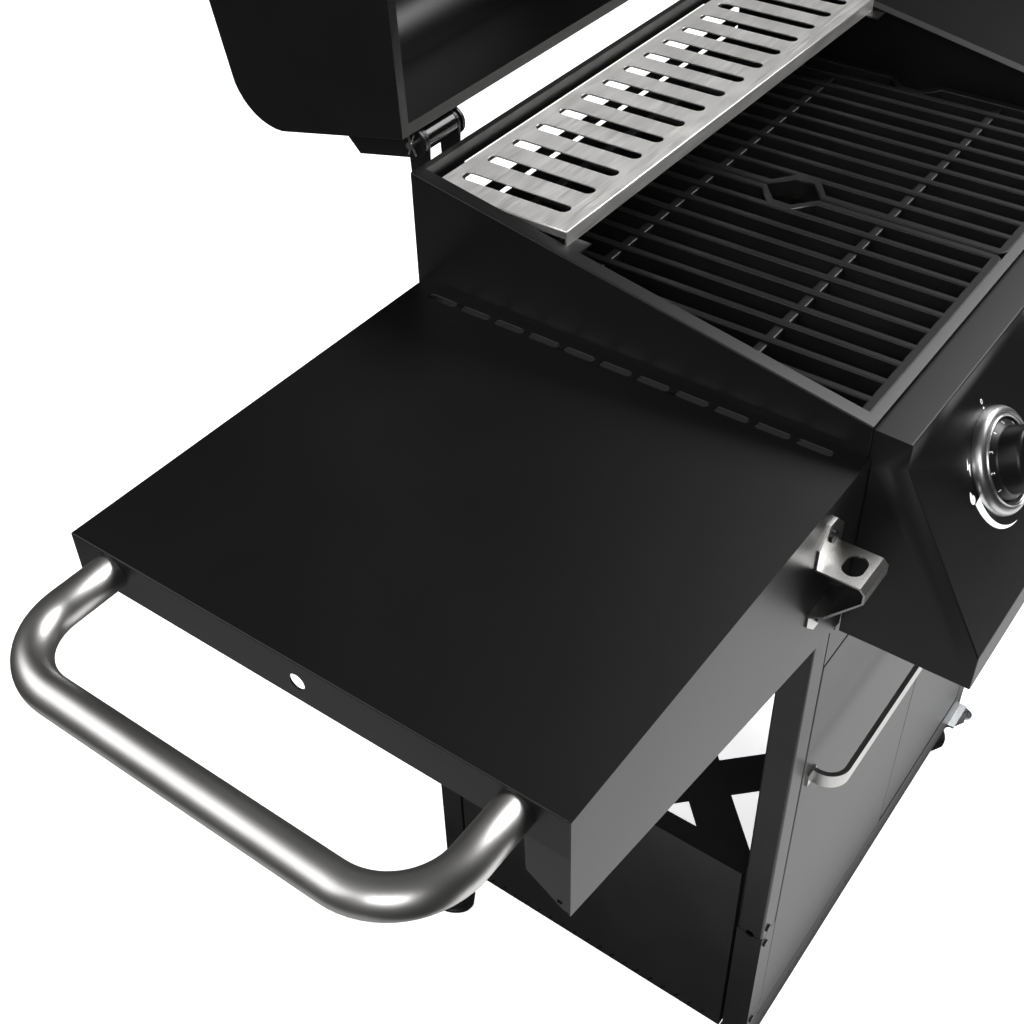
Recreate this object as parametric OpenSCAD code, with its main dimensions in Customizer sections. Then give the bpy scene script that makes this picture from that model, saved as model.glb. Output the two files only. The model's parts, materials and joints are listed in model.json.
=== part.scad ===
// Gas barbecue grill on a four-castor cart. Millimetres, Z up.
// X runs along the length, the control panel faces -Y, and the floor is Z = 0.
// The lid is drawn on its open stop, and every other moving piece at its closed stop.

/* [Cart] */
// Half of the cart's length, to the outer faces of the legs
cart_hx = 281; // [281:1:283]
// Half of the cart's depth, to the outer faces of the legs
cart_hy = 191; // [191:1:192]
// Side of the square leg tube
leg_w = 26; // [25:0.5:27]
// Height of the joint between the upper and the lower leg
leg_joint_z = 302; // [280:1:330]
// Height of the underside of the bottom rails
cart_bottom_z = 86; // [86:1:90]
// Height of the frame top, which carries the firebox
cart_top_z = 709; // [709:1:711]
// Top of the side panels
side_panel_top_z = 385; // [300:1:420]

/* [Firebox] */
// Half of the firebox length, to its outer faces
box_hx = 264; // [263:1:265]
// Height of the firebox rim at the front
rim_front_z = 899; // [897:1:901]
// Height of the firebox rim at the back
rim_back_z = 968; // [964:1:970]
// Height of the cooking surface
grate_top_z = 888; // [886:1:890]
// Top of the warming rack
rack_top_z = 953.5; // [952:0.5:955]
// Number of slots in the warming rack
rack_slots = 15; // [9:2:15]

/* [Lid] */
// Angle between the open and the closed lid
lid_open = 102.5; // [90:0.5:103]
// Height of the closed lid's top
lid_top_z = 1134; // [1110:1:1150]

/* [Side shelves] */
// Height of the shelf tops above the floor
shelf_z = 874.5; // [870:0.5:878]
// Distance of the shelf ends from the middle
shelf_end_x = 613; // [580:1:640]
// Diameter of the push handle tube
tube_d = 25; // [22:0.5:26]
// Distance of the push handle's straight part from the middle
push_x = 702; // [690:1:720]

/* [Controls and doors] */
// Distance between the control knobs
knob_pitch = 156; // [140:1:160]
// Outer diameter of the bezel round each knob
bezel_d = 79; // [70:1:82]
// Distance of the seam between the doors from the middle
door_seam_x = 33; // [0:1:40]
// Height of the door handles
door_handle_z = 505; // [480:1:560]

/* [Castors] */
// Diameter of the castor wheels
wheel_d = 50; // [46:1:52]
// Distance of each wheel's axle behind its swivel
trail = 16; // [13:1:18]

/* [Hidden] */
$fn = 48;
sheet = 1.5;
thin = 1.2;
eps = 0.01;
fit = 0.05;
leg_x = cart_hx - leg_w / 2;
leg_y = cart_hy - leg_w / 2;
leg_in_x = cart_hx - leg_w;
leg_in_y = cart_hy - leg_w;
box_y0 = -197;
box_y1 = 181;
rim_slope = (rim_back_z - rim_front_z) / (box_y1 - box_y0);
bottom_rail_h = 40;
door_top_z = 655;
top_rail_z = 657;
door_t = 18;
door_gap = 1.4;
pin_inset = 3;
door_pin_r = 2;
shelf_y0 = -199.5;
shelf_y1 = 181;
shelf_cy = -9;
fascia_outer_z = 789;
fascia_inner_z = 720;
end_fascia_h = 33;
push_dy = 155.7;
push_z = 860;
push_bend = 50;
panel_y = -200;
panel_top_z = 898;
face_top = [-224.5, 876];
face_low = [-300, 743];
panel_low_z = 711;
face_len = norm(face_low - face_top);
face_tilt = atan2(face_top[0] - face_low[0], face_top[1] - face_low[1]);
knob_s = 59.5;
knob_yz = face_top + (face_low - face_top) * knob_s / face_len;
burner_pitch = 160;
burner_z = 790;
burner_r = 13;
ledge_z = grate_top_z - 14;
bar_z = 825;
hinge_yz = [193, 979];
hinge_x = 219.5;
lid_y0 = -197;
lid_y1 = 182;
rim_gap = 1.8;

// ---------- shared shapes ----------

// A box between two corners
module block(low, high) {
    translate(low) cube(high - low);
}

// A flat outline in Y and Z, drawn out along X from x0 to x1
module along_x(x0, x1) {
    translate([x0, 0, 0]) rotate([90, 0, 90]) linear_extrude(x1 - x0) children();
}

// A flat outline in X and Z, drawn out along Y from y0 to y1
module along_y(y0, y1) {
    translate([0, y1, 0]) rotate([90, 0, 0]) linear_extrude(y1 - y0) children();
}

// A round rod along X
module rod_x(x0, x1, y, z, r) {
    translate([x0, y, z]) rotate([0, 90, 0]) cylinder(r = r, h = x1 - x0);
}

// A round rod along Y
module rod_y(x, y0, y1, z, r) {
    translate([x, y1, z]) rotate([90, 0, 0]) cylinder(r = r, h = y1 - y0);
}

// A slot with round ends along Y, cut down through a sheet
module slot_y(x, y0, y1, w, z0, z1) {
    translate([x, 0, z0]) linear_extrude(z1 - z0) union() {
        translate([-w / 2, y0 + w / 2]) square([w, y1 - y0 - w]);
        for (y = [y0 + w / 2, y1 - w / 2]) translate([0, y]) circle(w / 2);
    }
}

// Points of an arc, from angle a0 to a1
function arc(c, r, a0, a1, n = 10) =
    [for (i = [0:n]) c + r * [cos(a0 + (a1 - a0) * i / n), sin(a0 + (a1 - a0) * i / n)]];

// Copies a child to the left and to the right
module both_sides() {
    children();
    mirror([1, 0, 0]) children();
}

// ---------- cart ----------

module leg_tube(sx, sy, z0, z1) {
    wall = 1.3;
    translate([sx * leg_x, sy * leg_y, 0]) difference() {
        block([-leg_w / 2, -leg_w / 2, z0], [leg_w / 2, leg_w / 2, z1]);
        block([-leg_w / 2 + wall, -leg_w / 2 + wall, z0 - 1], [leg_w / 2 - wall, leg_w / 2 - wall, z1 + 1]);
        // locating hole at the joint, in the outer side face
        translate([sx * leg_w / 2, 0, leg_joint_z]) rotate([0, 90, 0])
            cylinder(r = 4.5, h = 4 * wall, center = true);
    }
}

module leg(sx, sy) {
    color("#2b2c2d") leg_tube(sx, sy, leg_joint_z + 0.5, cart_top_z);
}

module foot(sx, sy) {
    spigot = leg_w / 2 - 1.5;
    color("#2b2c2d") union() {
        leg_tube(sx, sy, cart_bottom_z, leg_joint_z - 0.5);
        // spigot that slides up inside the upper leg
        translate([sx * leg_x, sy * leg_y, 0]) difference() {
            block([-spigot, -spigot, leg_joint_z - 30], [spigot, spigot, leg_joint_z + 35]);
            block([-spigot + 1.2, -spigot + 1.2, leg_joint_z - 31], [spigot - 1.2, spigot - 1.2, leg_joint_z + 36]);
            rod_x(-leg_w, leg_w, 0, leg_joint_z, 4.5);
        }
        // closed end that the castor plate is bolted to
        translate([sx * leg_x, sy * leg_y, 0])
            block([-leg_w / 2, -leg_w / 2, cart_bottom_z], [leg_w / 2, leg_w / 2, cart_bottom_z + 3]);
    }
}

// A channel between two legs, open to the inside of the cart
module rail(z0, z1) {
    depth = leg_w - 1;
    difference() {
        block([-leg_in_x, -cart_hy, z0], [leg_in_x, -cart_hy + depth, z1]);
        block([-leg_in_x - 1, -cart_hy + sheet, z0 + sheet], [leg_in_x + 1, -cart_hy + depth + 1, z1 - sheet]);
    }
}

module door_pin_holes(z) {
    for (x = [-door_axis_x, door_axis_x])
        translate([x, door_axis_y, z]) cylinder(r = door_pin_r + fit, h = 12, center = true);
}

module front_top_rail() {
    color("#3a3b3c") difference() {
        rail(top_rail_z, cart_top_z);
        door_pin_holes(top_rail_z);
    }
}

module front_bottom_rail() {
    hole_gap = 19;
    hole_pitch = 58;
    color("#3a3b3c") difference() {
        rail(cart_bottom_z, cart_bottom_z + bottom_rail_h);
        door_pin_holes(cart_bottom_z + bottom_rail_h);
        for (i = [-3:0], x = [10 + i * hole_pitch, 10 + i * hole_pitch - hole_gap])
            rod_y(x, -cart_hy - 1, -cart_hy + 4, 108, 1.6);
    }
}

module rear_top_rail() {
    color("#2b2c2d") difference() {
        mirror([0, 1, 0]) rail(top_rail_z, cart_top_z);
        // window for the grease tray
        block([-26, cart_hy - 40, 682], [26, cart_hy + 2, cart_top_z + 1]);
    }
}

module rear_bottom_rail() {
    color("#2b2c2d") mirror([0, 1, 0]) rail(cart_bottom_z, cart_bottom_z + bottom_rail_h);
}

module side_panel() {
    edge = leg_in_y - 4;
    z0 = 113;
    flange = 21;
    slit_pitch = 15.8;
    color("#2f3031") difference() {
        union() {
            block([-cart_hx, -edge, z0], [-cart_hx + thin, edge, side_panel_top_z]);
            block([-cart_hx, -edge, side_panel_top_z - thin], [-cart_hx + flange, edge, side_panel_top_z]);
            block([-cart_hx, -edge, z0], [-cart_hx + flange, edge, z0 + thin]);
            for (s = [-1, 1]) {
                block([-cart_hx, s * edge - thin / 2, z0], [-cart_hx + 10, s * edge + thin / 2, side_panel_top_z]);
                block([-cart_hx + 8.8, min(s * edge, s * leg_in_y), z0],
                    [-cart_hx + 10, max(s * edge, s * leg_in_y), side_panel_top_z]);
            }
        }
        for (i = [-9:9])
            translate([-cart_hx, i * slit_pitch, z0 + 7]) rotate([35, 0, 0])
                cube([4, 1.8, 9], center = true);
    }
}

// A flat strip across the cart bottom, carrying the gas cylinder
module brace_strip(angle, z) {
    width = 52;
    color("#1f2021") intersection() {
        translate([-5, 14, z]) rotate([0, 0, angle]) translate([-320, -width / 2, 0]) cube([640, width, 2]);
        block([-leg_in_x, -cart_hy + 6, z - 1], [leg_in_x, cart_hy - 6, z + 3]);
    }
}

// ---------- castors ----------

plate_t = 3;
castor_z = cart_bottom_z - plate_t;
axle_z = wheel_d / 2;
wheel_w = 20;
axle_r = 4;
// Way each castor points, from the cart's end towards its back
trail_turn = 60;

module castor_plates() {
    color("#b9bbbc") for (sx = [-1, 1], sy = [-1, 1]) translate([sx * leg_x, sy * leg_y, 0]) {
        block([-21, -21, castor_z], [21, 21, cart_bottom_z]);
        translate([0, 0, castor_z - 12]) cylinder(r = 6, h = 12 + eps);
    }
}

brake_pin = [-22, 65];

// Moves a castor's piece, drawn trailing along +X, to a corner of the cart
module at_corner(sx, sy) {
    mirror([sx < 0 ? 1 : 0, 0, 0]) translate([leg_x, sy * leg_y, 0]) rotate([0, 0, trail_turn]) children();
}

module castor_fork(sx, sy) {
    cheek = wheel_w / 2 + 1.2;
    top_z = castor_z - 1;
    color("#222324") at_corner(sx, sy) difference() {
        union() {
            translate([0, 0, top_z - 10]) cylinder(r = 18, h = 10);
            for (s = [-1, 1])
                translate([0, s * (cheek + 1.25), 0]) rotate([90, 0, 0]) linear_extrude(2.5, center = true)
                    polygon(concat([[-13, top_z - 6], [-9, top_z - 14]], arc([trail, axle_z], 8, 200, 360, 8),
                        [[trail + 8, axle_z + 8], [20, top_z - 6]]));
            rod_y(trail, -cheek - 3.5, cheek + 3.5, axle_z, axle_r);
            // lugs and pin for the brake pedal
            if (sy < 0) {
                for (s = [-1, 1]) block([s * 12.5 - 1, brake_pin[0] - 3.5, brake_pin[1] - 4], [s * 12.5 + 1, -8, top_z - 1]);
                rod_x(-13, 13, brake_pin[0], brake_pin[1], 1.5);
            }
        }
        translate([0, 0, top_z - 11]) cylinder(r = 6 + fit, h = 20);
    }
}

module castor_wheel(sx, sy) {
    half = wheel_w / 2;
    color("#151515") at_corner(sx, sy) translate([trail, 0, axle_z]) rotate([90, 0, 0])
        rotate_extrude($fn = 64) polygon([
            [axle_r + fit, -half], [10, -half], [12, -half + 3], [axle_z - 8, -half + 3],
            [axle_z - 6, -half + 1], [axle_z - 2, -half + 1], [axle_z, -half + 4],
            [axle_z, half - 4], [axle_z - 2, half - 1], [axle_z - 6, half - 1],
            [axle_z - 8, half - 3], [12, half - 3], [10, half], [axle_r + fit, half]]);
}

module brake_pedal(sx) {
    slope = 24;
    color("#c9cbcc") at_corner(sx, -1) translate([0, brake_pin[0], brake_pin[1]]) difference() {
        union() {
            rotate([0, 90, 0]) cylinder(r = 4, h = wheel_w + 2, center = true);
            rotate([slope, 0, 0]) block([-11, -14, 0], [11, 0, 3]);
            rotate([slope, 0, 0]) translate([0, -14, 0]) cylinder(r = 11, h = 3);
            for (r = [5, 9]) rotate([slope, 0, 0]) translate([0, -14, 3]) difference() {
                cylinder(r = r + 1.6, h = 1.5);
                translate([0, 0, -1]) cylinder(r = r, h = 4);
                block([-12, 0, -1], [12, 14, 4]);
            }
        }
        rotate([0, 90, 0]) cylinder(r = 1.5 + fit, h = 40, center = true);
    }
}

// ---------- firebox ----------

function rim_z(y) = rim_front_z + (y - box_y0) * rim_slope;

module box_outline(inset, low, top_drop) {
    y0 = box_y0 + inset;
    y1 = box_y1 - inset;
    polygon([[y0, low], [y1, low], [y1, rim_z(y1) - top_drop], [y0, rim_z(y0) - top_drop]]);
}

module firebox() {
    low = cart_top_z;
    wall_x = box_hx - sheet;
    wall_y0 = box_y0 + sheet;
    wall_y1 = box_y1 - sheet;
    color("#303132") difference() {
        union() {
            difference() {
                along_x(-box_hx, box_hx) box_outline(0, low, 0);
                along_x(-wall_x, wall_x) box_outline(sheet, low + sheet, sheet);
                // mouth, which leaves a flat rim on all four sides
                block([-252, -189, low + 50], [252, 176, rim_back_z + 20]);
            }
            // ledges for the grates
            block([-wall_x - eps, wall_y0 - eps, ledge_z - sheet], [wall_x + eps, -176, ledge_z]);
            block([-wall_x - eps, 160, ledge_z - sheet], [wall_x + eps, wall_y1 + eps, ledge_z]);
            // bars for the flame tamers
            block([-wall_x - eps, -138, bar_z - 3], [wall_x + eps, -124, bar_z]);
            block([-wall_x - eps, 128, bar_z - 3], [wall_x + eps, 142, bar_z]);
            // rest for the burner ends
            block([-wall_x - eps, 112, burner_z - burner_r - 3], [wall_x + eps, 126, burner_z - burner_r]);
            // tabs for the warming rack
            both_sides() for (y = [40, 152]) block([-wall_x - eps, y, 940], [-236, y + 22, 941.5]);
            // runners for the grease tray
            for (s = [-1, 1]) {
                block([s * 20.25 - 0.75, -150, 699], [s * 20.25 + 0.75, 175, low + eps]);
                block([s * 18.5 - 2.5, -150, 699], [s * 18.5 + 2.5, 175, 700.5]);
            }
            block([-21, -151.5, 699], [21, -150, low + eps]);
        }
        // grease channel and air slots in the floor
        block([-12, -140, low - 1], [12, 140, low + 4]);
        for (x = [30.5, -30.5, 110, -110]) slot_y(x, -130, 130, 13, low - 1, low + 4);
        // vents in the back wall
        block([-235, wall_y1 - 1, 917], [235, box_y1 + 1, 950]);
        block([-235, wall_y1 - 1, 899], [235, box_y1 + 1, 905]);
        for (i = [-1:1]) rod_y(i * burner_pitch, box_y0 - 1, wall_y0 + 1, burner_z, burner_r + 0.5);
    }
}

module hinge_ear() {
    polygon(concat([[box_y1, 925], [200, 925]],
        arc(hinge_yz, 10, 0, 180, 12), [[184, 962], [box_y1, 958]]));
}

module hinge_brackets() {
    color("#202122") both_sides() difference() {
        union() {
            for (x = [-hinge_x - 19.5, -hinge_x + 17]) along_x(x, x + 2.5) hinge_ear();
            block([-hinge_x - 19.5, box_y1, 925], [-hinge_x + 19.5, box_y1 + 2.5, 957]);
        }
        rod_x(-hinge_x - 30, -hinge_x + 30, hinge_yz[0], hinge_yz[1], 3 + fit);
    }
}

module hinge_pins() {
    color("#d0d2d3") both_sides() {
        rod_x(-hinge_x - 30, -hinge_x + 26.5, hinge_yz[0], hinge_yz[1], 3);
        rod_x(-hinge_x + 25, -hinge_x + 28, hinge_yz[0], hinge_yz[1], 5);
        // spring clip through the pin end
        translate([-hinge_x - 27, hinge_yz[0], hinge_yz[1]]) rotate([20, 0, 0])
            cylinder(r = 1, h = 18, center = true);
        translate([-hinge_x - 27, hinge_yz[0], hinge_yz[1]]) rotate([-25, 0, 0])
            cylinder(r = 1, h = 18, center = true);
    }
}

module hinge_spacers() {
    color("#141414") both_sides() difference() {
        rod_x(-hinge_x - 16.5, -hinge_x + 16.5, hinge_yz[0], hinge_yz[1], 9.5);
        rod_x(-hinge_x - 18, -hinge_x + 18, hinge_yz[0], hinge_yz[1], 3 + fit);
    }
}

// ---------- lid ----------

corner_r = 45;
front_r = 157;

// Outline of the closed lid's side, inset by a wall thickness
function lid_outline(inset) =
    let (rc = corner_r - inset, rf = front_r - inset)
    concat(
        [[lid_y1 - inset, rim_z(lid_y1) + rim_gap - (inset > 0 ? 10 : 0)]],
        arc([lid_y1 - corner_r, lid_top_z - corner_r], rc, 0, 90, 10),
        arc([lid_y0 + front_r, lid_top_z - front_r], rf, 90, 180, 18),
        [[lid_y0 + inset, rim_z(lid_y0) + rim_gap - (inset > 0 ? 10 : 0)]]);

// Turns the closed lid's pieces to the open stop
module opened() {
    translate([0, hinge_yz[0], hinge_yz[1]]) rotate([-lid_open, 0, 0])
        translate([0, -hinge_yz[0], -hinge_yz[1]]) children();
}

module lid_ear() {
    ear_r = 11.5;
    polygon(concat([[lid_y1 - thin / 2, 1052], [lid_y1 - thin / 2, 993], [hinge_yz[0] - 8, 988]],
        arc(hinge_yz, ear_r, 180, 360, 12), [[hinge_yz[0] + ear_r, 1038], [195, 1044]]));
}

module lid() {
    color("#2c2d2e") opened() difference() {
        union() {
            difference() {
                along_x(-box_hx, box_hx) polygon(lid_outline(0));
                along_x(-box_hx + thin, box_hx - thin) polygon(lid_outline(thin));
            }
            // flat rim turned in round the mouth
            difference() {
                along_x(-box_hx, box_hx) polygon([
                    [lid_y0, rim_z(lid_y0) + rim_gap], [lid_y1, rim_z(lid_y1) + rim_gap],
                    [lid_y1, rim_z(lid_y1) + rim_gap + thin], [lid_y0, rim_z(lid_y0) + rim_gap + thin]]);
                block([-255, lid_y0 + 9, 890], [255, lid_y1 - 9, 990]);
            }
            both_sides() for (x = [-hinge_x - 24, -hinge_x + 21]) along_x(x, x + 2.5) lid_ear();
        }
        for (s = [-1, 1]) translate([s * hinge_x, 0, 0])
            rod_x(-32, 32, hinge_yz[0], hinge_yz[1], 3 + fit);
    }
}

module lid_handle() {
    z = 958;
    y = lid_y0 - 42;
    color("#c4c6c7") opened() union() {
        rod_x(-215, 215, y, z, 11);
        for (x = [-185, 185]) rod_y(x, y, lid_y0, z, 8);
        for (x = [-185, 185]) rod_y(x, lid_y0 - 5, lid_y0, z, 13);
    }
}

// ---------- cooking parts ----------

module warming_rack() {
    hx = 250;
    y0 = 52;
    y1 = 174.5;
    pitch = 31.9;
    span = (rack_slots - 1) / 2;
    color("#c9cacb") difference() {
        union() {
            block([-hx, y0, rack_top_z - thin], [hx, y1, rack_top_z]);
            block([-hx, y0, rack_top_z - 12], [hx, y0 + thin, rack_top_z]);
            block([-hx, y1 - thin, rack_top_z - 12], [hx, y1, rack_top_z]);
            both_sides() block([-hx, y0, rack_top_z - 6], [-hx + thin, y1, rack_top_z]);
        }
        for (i = [-span:span]) slot_y(i * pitch, 67.5, 163.5, 11, rack_top_z - 3, rack_top_z + 1);
    }
}

grate_w = 249;
grate_y0 = -184;
grate_y1 = 168;
grate_mid_y = (grate_y0 + grate_y1) / 2;
notch_y = -4;

// Half-hexagon that gives room for a finger between two grates
module finger_notch(grow) {
    polygon([[-1, notch_y - 24 - grow], [0, notch_y - 24 - grow], [19 + grow, notch_y - 8 - grow / 2],
        [19 + grow, notch_y + 8 + grow / 2], [0, notch_y + 24 + grow], [-1, notch_y + 24 + grow]]);
}

module grate() {
    bar = 6.5;
    rim = 8;
    bars = 11;
    pitch = (grate_w - rim) / (bars - 1);
    height = grate_top_z - ledge_z;
    color("#1c1c1d") translate([1, 0, ledge_z]) difference() {
        union() {
            linear_extrude(height) union() {
            difference() {
                offset(8, $fn = 24) offset(-8)
                    translate([0, grate_y0]) square([grate_w, grate_y1 - grate_y0]);
                translate([rim, grate_y0 + rim]) square([grate_w - 2 * rim, grate_y1 - grate_y0 - 2 * rim]);
            }
            for (i = [1:bars - 2]) translate([rim / 2 + i * pitch - bar / 2, grate_y0 + 1])
                square([bar, grate_y1 - grate_y0 - 2]);
            intersection() {
                finger_notch(7);
                translate([0, grate_y0]) square([grate_w, grate_y1 - grate_y0]);
            }
            translate([grate_w, 0]) mirror([1, 0]) intersection() {
                finger_notch(7);
                translate([0, grate_y0]) square([grate_w, grate_y1 - grate_y0]);
            }
            }
            // cross ribs, a little lower than the bars
            for (y = [grate_mid_y - 77, grate_mid_y + 77]) block([1, y - 4, 0], [grate_w - 1, y + 4, height - 2.5]);
        }
        translate([0, 0, -1]) linear_extrude(height + 2) finger_notch(0);
        translate([grate_w, 0, -1]) mirror([1, 0, 0]) linear_extrude(height + 2) finger_notch(0);
    }
}

module flame_tamers() {
    half = 42;
    ridge = 27;
    t = 1.4;
    color("#b4b5b6") for (i = [-1:1]) translate([i * burner_pitch, 0, bar_z]) difference() {
        along_y(-143, 147) polygon([[-half, 0], [-half + t, 0], [0, ridge - t], [half - t, 0],
            [half, 0], [0, ridge + t / 2]]);
        for (s = [-1, 1], y = [-60, 60])
            translate([s * half / 2, y, ridge / 2]) cylinder(r = 4, h = 30, center = true);
    }
}

module burners() {
    color("#a7a8a8") for (i = [-1:1]) translate([i * burner_pitch, 0, burner_z]) union() {
        rotate([90, 0, 0]) difference() {
            translate([0, 0, -150]) cylinder(r = burner_r, h = 349);
            translate([0, 0, -148]) cylinder(r = burner_r - 1, h = 350);
        }
        rotate([90, 0, 0]) difference() {
            translate([0, 0, -box_y0]) cylinder(r = 18, h = 1.5);
            translate([0, 0, -box_y0 - 1]) cylinder(r = burner_r - 1, h = 4);
        }
    }
}

manifold_yz = knob_yz + 52 * [cos(face_tilt), -sin(face_tilt)];

module on_face(i) {
    translate([i * knob_pitch, knob_yz[0], knob_yz[1]]) rotate([90 - face_tilt, 0, 0]) children();
}

inlet_x = 228;
inlet_z = 738;

module gas_manifold() {
    color("#b79a55") difference() {
        union() {
            rod_x(-190, inlet_x + 9, manifold_yz[0], manifold_yz[1], 9);
            // inlet, turned down to meet the hose
            translate([inlet_x, manifold_yz[0], inlet_z + 14]) cylinder(r = 8, h = manifold_yz[1] - inlet_z - 14);
            translate([inlet_x, manifold_yz[0], inlet_z]) cylinder(r = 6.58, h = 15);
            for (i = [-1:1]) on_face(i) translate([0, 0, -44]) cylinder(r = 11, h = 38);
        }
        translate([inlet_x, manifold_yz[0], inlet_z - 1]) cylinder(r = 3.5, h = 50);
        for (i = [-1:1]) on_face(i) translate([0, 0, -30]) cylinder(r = 4 + fit, h = 40);
    }
}

module grease_tray() {
    z = 700.5;
    color("#b7b8b9") difference() {
        union() {
            block([-15, -148, 688], [15, 176, z + 1]);
            block([-18.5, -148, z], [18.5, 176, z + 1]);
            block([-22, 176, 686], [22, 178, z + 1]);
        }
        block([-14, -147, 689], [14, 175, z + 2]);
    }
}

// ---------- control panel ----------

module panel_outline(inset) {
    polygon([[panel_y + (inset > 0 ? 1 : 0), panel_low_z - (inset > 0 ? 1 : 0)],
        [panel_y + (inset > 0 ? 1 : 0), panel_top_z - inset], [face_top[0] + inset, panel_top_z - 1 - inset],
        [face_top[0] + inset, face_top[1] + inset / 4], [face_low[0] + inset, face_low[1] + inset / 4],
        [face_low[0] + inset, panel_low_z - (inset > 0 ? 1 : 0)]]);
}

module control_panel() {
    color("#2e2f30") difference() {
        union() {
            difference() {
                along_x(-box_hx, box_hx) panel_outline(0);
                along_x(-box_hx + sheet, box_hx - sheet) panel_outline(sheet);
            }
            // lower lip turned back under the face
            block([-box_hx, face_low[0], panel_low_z], [box_hx, face_low[0] + 14, panel_low_z + sheet]);
            // rear flange screwed to the firebox
            block([-box_hx, panel_y, panel_top_z - 30], [box_hx, box_y0, panel_top_z]);
        }
        for (i = [-1:1]) on_face(i) cylinder(r = 8, h = 20, center = true);
    }
}

module knob_bezels() {
    r = bezel_d / 2;
    color("#c8c9ca") for (i = [-1:1]) on_face(i) rotate_extrude($fn = 96)
        polygon(concat([[30.5, 0], [r, 0], [r, 2]], arc([r - 5, 4], 5, 0, 70, 6), [[32, 9.5], [30.5, 8.5]]));
}

module valve_stem(i) {
    color("#b79a55") on_face(i) translate([0, 0, -28]) cylinder(r = 4, h = 46);
}

module knob(i) {
    color("#1b1b1c") on_face(i) difference() {
        union() {
            rotate_extrude($fn = 96) polygon([[0, 5], [29.5, 5], [29.5, 7], [24.5, 11.5], [24, 25], [22, 28], [0, 28]]);
            translate([-4.5, -23, 27]) cube([9, 46, 7]);
        }
        translate([0, 0, 4]) cylinder(r = 4 + fit, h = 19);
    }
}

// ---------- side shelves ----------

module shelf() {
    color("#2a2b2c") difference() {
        union() {
            block([-shelf_end_x, shelf_y0 + thin, shelf_z - thin], [-box_hx, shelf_y1, shelf_z]);
            block([-shelf_end_x, shelf_y0 + thin, shelf_z - end_fascia_h], [-shelf_end_x + thin, shelf_y1, shelf_z]);
            block([-shelf_end_x, shelf_y1 - thin, shelf_z - end_fascia_h], [-box_hx, shelf_y1, shelf_z]);
            block([-box_hx - thin, shelf_y0 + thin, shelf_z - end_fascia_h], [-box_hx, shelf_y1, shelf_z]);
            // cross channel that holds the inner ends of the push handle
            block([-shelf_end_x + 60, shelf_y0 + thin, shelf_z - end_fascia_h],
                [-shelf_end_x + 61.5, shelf_y1, shelf_z]);
        }
        for (i = [-5:5]) slot_y(-274.5, -7.2 + i * 31.3 - 13, -7.2 + i * 31.3 + 13, 6, shelf_z - 4, shelf_z + 1);
        for (s = [-1, 1]) rod_x(-shelf_end_x - 1, -shelf_end_x + 62, shelf_cy + s * push_dy, push_z, tube_d / 2 + fit);
        rod_x(-shelf_end_x - 1, -shelf_end_x + 4, shelf_cy, 857.5, 6);
    }
}

module shelf_fascia() {
    slope_x0 = -shelf_end_x;
    color("#3c3d3e") difference() {
        union() {
            along_y(shelf_y0, shelf_y0 + thin) polygon([[slope_x0, fascia_outer_z], [slope_x0, shelf_z],
                [-box_hx - 1, shelf_z], [-box_hx - 1, fascia_inner_z]]);
            // tab turned round the shelf end
            along_x(slope_x0 + thin, slope_x0 + 2 * thin) polygon([[shelf_y0, fascia_outer_z], [-194, fascia_outer_z],
                [-169, 807], [-168, shelf_z - thin], [shelf_y0, shelf_z - thin]]);
        }
        for (z = [865.5, 795]) rod_x(slope_x0 - 1, slope_x0 + 4, -191.5, z, 2);
        rod_x(slope_x0 - 1, slope_x0 + 4, shelf_cy - push_dy, push_z, tube_d / 2 + 1);
    }
}

module push_handle() {
    r = tube_d / 2;
    in_x = -shelf_end_x + 66;
    color("#c6c7c8") translate([0, shelf_cy, push_z]) difference() {
        union() {
            for (s = [-1, 1]) rod_x(-push_x + push_bend, in_x, s * push_dy, 0, r);
            rod_y(-push_x, -push_dy + push_bend, push_dy - push_bend, 0, r);
            translate([-push_x + push_bend, push_dy - push_bend, 0])
                rotate_extrude(angle = 90, start = 90) translate([push_bend, 0]) circle(r);
            translate([-push_x + push_bend, -push_dy + push_bend, 0])
                rotate_extrude(angle = 90, start = 180) translate([push_bend, 0]) circle(r);
        }
        for (s = [-1, 1]) rod_x(-push_x + push_bend + 10, in_x + 1, s * push_dy, 0, r - 1.2);
    }
}

module bottle_opener() {
    x0 = -333;
    x1 = -298;
    top = 829;
    out = 36;
    t = 1.5;
    y = shelf_y0;
    color("#cfd0d1") difference() {
        along_x(x0, x1) union() {
            polygon([[y, top - t], [y, 858], [y - t, 858], [y - t, top], [y - out + 4, top], [y - out, top - 4],
                [y - out, top - 12], [y - 12, 789], [y - t, 784], [y - t, 762], [y, 762], [y, 786],
                [y - 10.6, 790.4], [y - out + t, top - 12], [y - out + t, top - 4.6], [y - out + 4.6, top - t]]);
        }
        // round shoulders of the two screw tabs
        for (z = [858, 762], x = [x0, x1]) translate([x, y, z]) rotate([0, 45, 0]) cube([18, 10, 18], center = true);
        for (z = [846, 772]) rod_y((x0 + x1) / 2, y - 4, y + 1, z, 2.5);
        translate([0, y - 20, 0]) hull() for (x = [-318.5, -312.5])
            translate([x, 0, top - 4]) cylinder(r = 7.5, h = 6);
    }
}

// ---------- doors ----------

door_axis_x = leg_in_x - door_gap - pin_inset;
door_axis_y = -cart_hy + pin_inset;

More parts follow.
